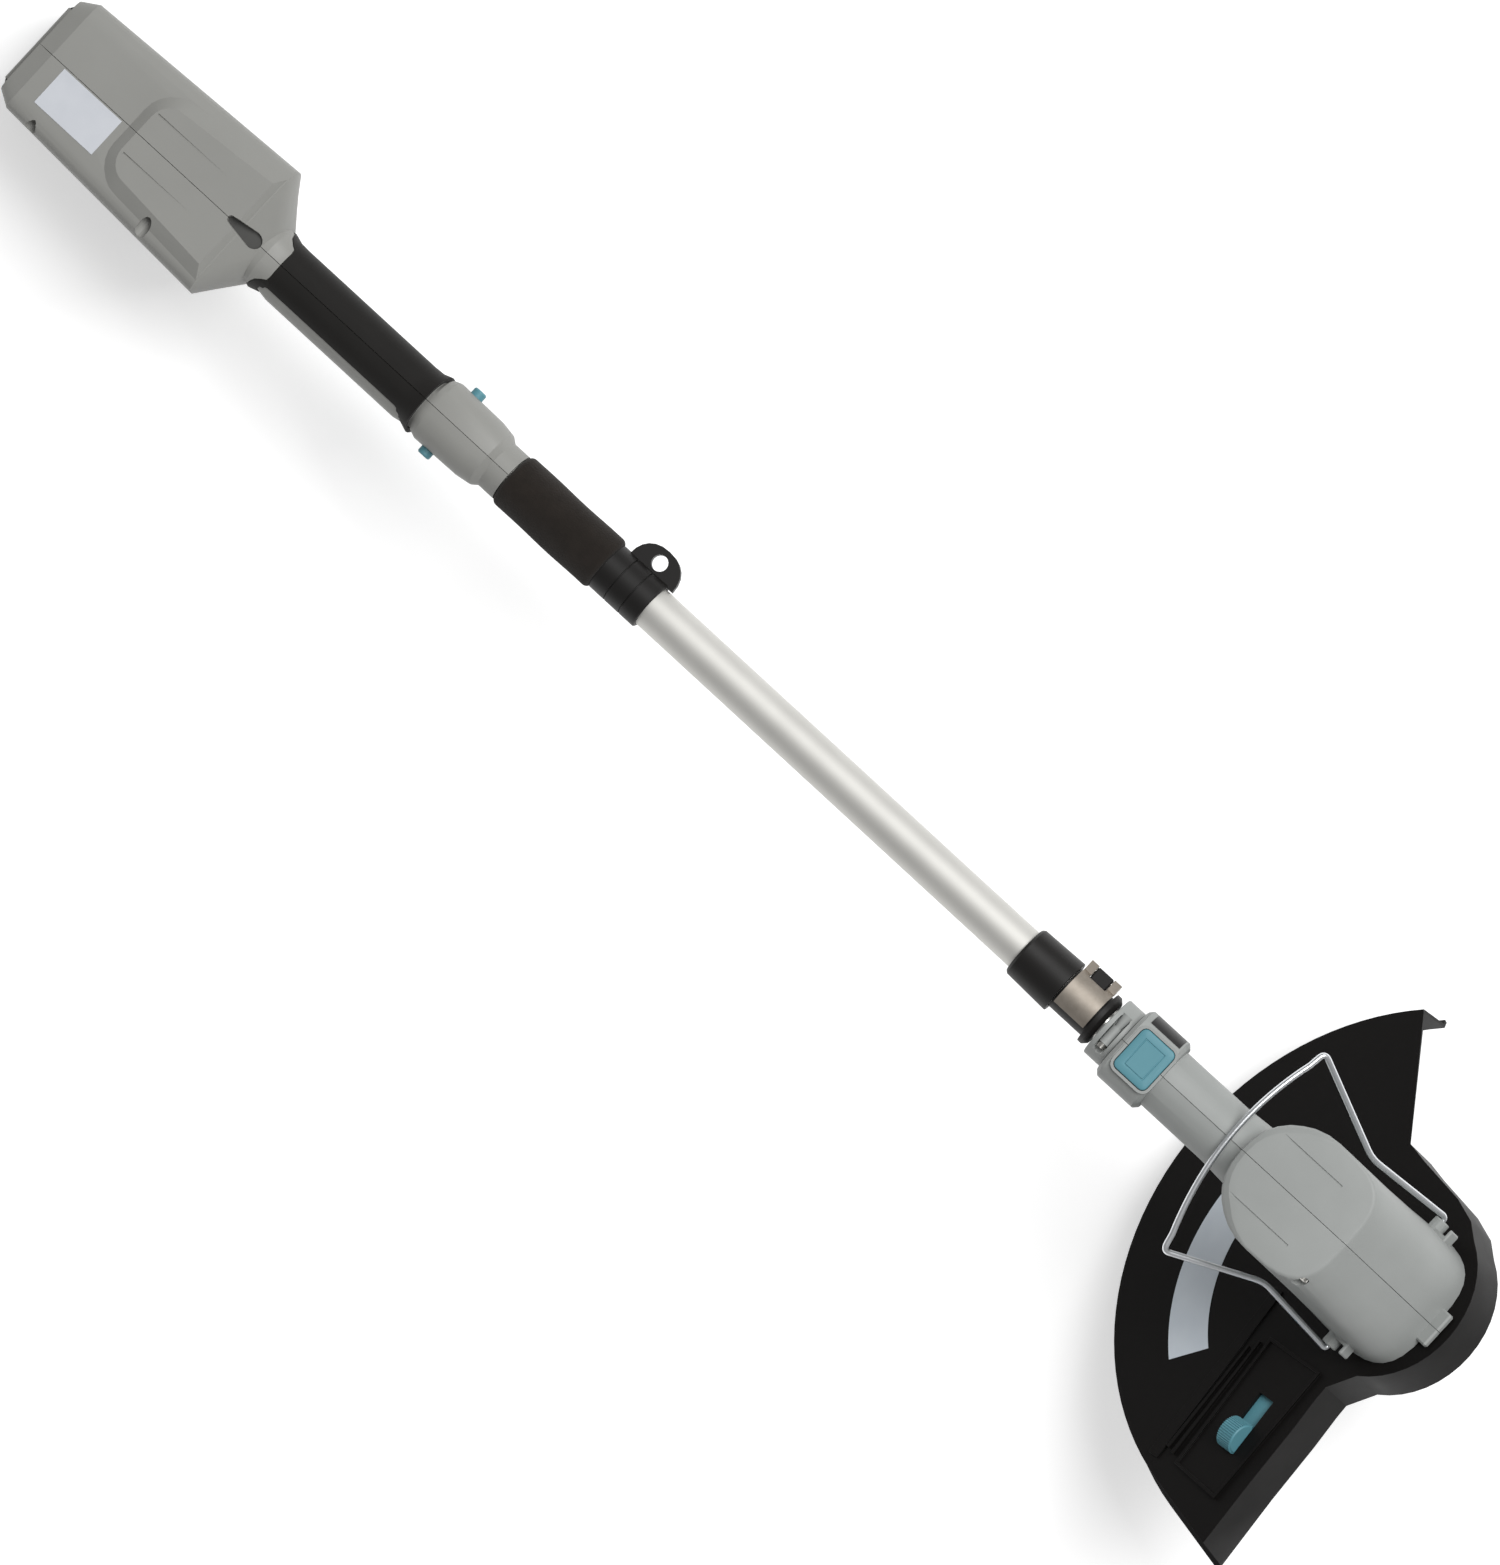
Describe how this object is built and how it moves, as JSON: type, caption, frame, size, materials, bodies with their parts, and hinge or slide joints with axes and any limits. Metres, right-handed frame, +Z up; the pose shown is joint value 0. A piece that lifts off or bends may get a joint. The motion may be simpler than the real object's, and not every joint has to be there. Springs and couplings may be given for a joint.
{
  "type": "cordless string trimmer",
  "caption": "Battery string trimmer with a telescopic aluminium pole, foam front grip, trigger handle, turning motor head, skirted guard, swing-out wire plant guard and bump-feed line spool.",
  "frame": {"origin": "centre of the battery's flat underside, which stands on the floor with the rear edge of the guard", "axes": "+X horizontally along the pole from the handle towards the cutting head, +Y to the user's left, +Z up from the floor that the tool lies on"},
  "size_m": [1.076, 0.3097, 0.2313],
  "materials": {
    "grey_abs": "moulded grey ABS with a fine spark-eroded texture",
    "soft_grip": "soft black elastomer moulded over the grip",
    "foam": "closed-cell black foam sleeve",
    "black_abs": "moulded black plastic",
    "teal_plastic": "moulded teal plastic",
    "aluminium": "satin anodised tube",
    "plated_steel": "satin nickel-plated steel",
    "steel": "bright zinc-plated steel",
    "ferrite": "dark sintered ferrite",
    "copper": "varnished copper windings on a laminated core",
    "cells": "wrapped steel cells",
    "board": "glass-epoxy circuit board",
    "line": "wound nylon line"
  },
  "bodies": {
    "handle": {"handle_shell_left": "grey_abs", "handle_shell_right": "grey_abs", "grip_overmould_left": "soft_grip", "grip_overmould_right": "soft_grip", "terminal_block": "black_abs", "control_board": "board", "trigger_switch": "black_abs", "trigger_pin": "steel", "trigger_spring": "steel", "foam_grip": "foam", "strap_collar": "black_abs", "outer_tube": "aluminium", "lower_sleeve": "black_abs", "clamp_body": "black_abs", "lever_pin": "steel", "handle_screw_1": "steel", "handle_screw_2": "steel"},
    "battery": {"battery_tray": "black_abs", "battery_cover": "black_abs", "battery_cells": "cells"},
    "battery_latch": {"battery_latch": "teal_plastic"},
    "trigger": {"trigger": "teal_plastic"},
    "lock_off_bar": {"lock_off_bar": "teal_plastic"},
    "clamp_lever": {"clamp_lever": "plated_steel"},
    "boom": {"inner_tube": "aluminium", "guide_plug": "black_abs", "tube_socket": "grey_abs", "socket_screw": "steel", "index_hub": "black_abs"},
    "head": {"head_shell_left": "grey_abs", "head_shell_right": "grey_abs", "motor_bracket": "black_abs", "motor_can": "steel", "magnet_ring": "ferrite", "bearing_upper": "steel", "bearing_lower": "steel", "guard": "black_abs", "guard_screw_1": "steel", "guard_screw_2": "steel", "guard_screw_3": "steel", "button_spring": "steel", "head_screw_1": "steel"},
    "head_button": {"head_button": "teal_plastic"},
    "spindle": {"motor_shaft": "steel", "rotor": "copper", "spindle_driver": "steel", "spool_housing": "black_abs", "line_eyelet_left": "steel", "line_eyelet_right": "steel", "spool_lid": "black_abs", "spool_spring": "steel"},
    "spool": {"line_spool": "grey_abs", "line_winding": "line", "bump_knob": "black_abs"},
    "plant_guard": {"plant_guard_wire": "steel"},
    "line_blade": {"blade_slider": "teal_plastic", "line_blade": "steel"}
  },
  "joints": [
    {"name": "battery_slide", "type": "slide", "parent": "handle", "child": "battery", "axis": [-1, 0, 0], "range_m": [0, 0.095]},
    {"name": "battery_latch_press", "type": "slide", "parent": "battery", "child": "battery_latch", "axis": [1, 0, 0], "range_m": [0, 0.0025], "stiffness_N_per_m": 600, "springref_m": -0.003},
    {"name": "trigger_press", "type": "hinge", "parent": "handle", "child": "trigger", "pos_m": [0.24837, 0, 0.09218], "axis": [0, 1, 0], "range_deg": [0, 8], "stiffness_Nm_per_rad": 0.4, "springref_deg": -14.32, "deforming": ["trigger_spring"]},
    {"name": "lock_off_press", "type": "slide", "parent": "handle", "child": "lock_off_bar", "axis": [0, 1, 0], "range_m": [-0.0025, 0.0025], "stiffness_N_per_m": 400},
    {"name": "clamp_lever_flip", "type": "hinge", "parent": "handle", "child": "clamp_lever", "pos_m": [0.72594, 0.0178, 0.17248], "axis": [-0.9925, 0, -0.1219], "range_deg": [0, 100]},
    {"name": "pole_telescope", "type": "slide", "parent": "handle", "child": "boom", "axis": [0.9925, 0, 0.1219], "range_m": [0, 0.2]},
    {"name": "head_twist", "type": "hinge", "parent": "boom", "child": "head", "pos_m": [0.77328, 0, 0.17426], "axis": [0.9925, 0, 0.1219], "range_deg": [0, 180]},
    {"name": "head_button_press", "type": "slide", "parent": "head", "child": "head_button", "axis": [0.1219, 0, -0.9925], "range_m": [0, 0.002], "stiffness_N_per_m": 800, "springref_m": -0.002, "deforming": ["button_spring"]},
    {"name": "spool_spin", "type": "hinge", "parent": "head", "child": "spindle", "pos_m": [0.95473, 0, 0.13448], "axis": [-0.6561, 0, 0.7547], "continuous": true},
    {"name": "bump_feed", "type": "slide", "parent": "spindle", "child": "spool", "axis": [-0.6561, 0, 0.7547], "range_m": [0, 0.004], "stiffness_N_per_m": 1500, "springref_m": -0.004, "deforming": ["spool_spring"]},
    {"name": "plant_guard_swing", "type": "hinge", "parent": "head", "child": "plant_guard", "pos_m": [0.95322, 0, 0.15039], "axis": [0, 1, 0], "range_deg": [0, 121]},
    {"name": "blade_slide", "type": "slide", "parent": "head", "child": "line_blade", "axis": [-0.0789, 0.9945, -0.0686], "range_m": [0, 0.019]}
  ]
}
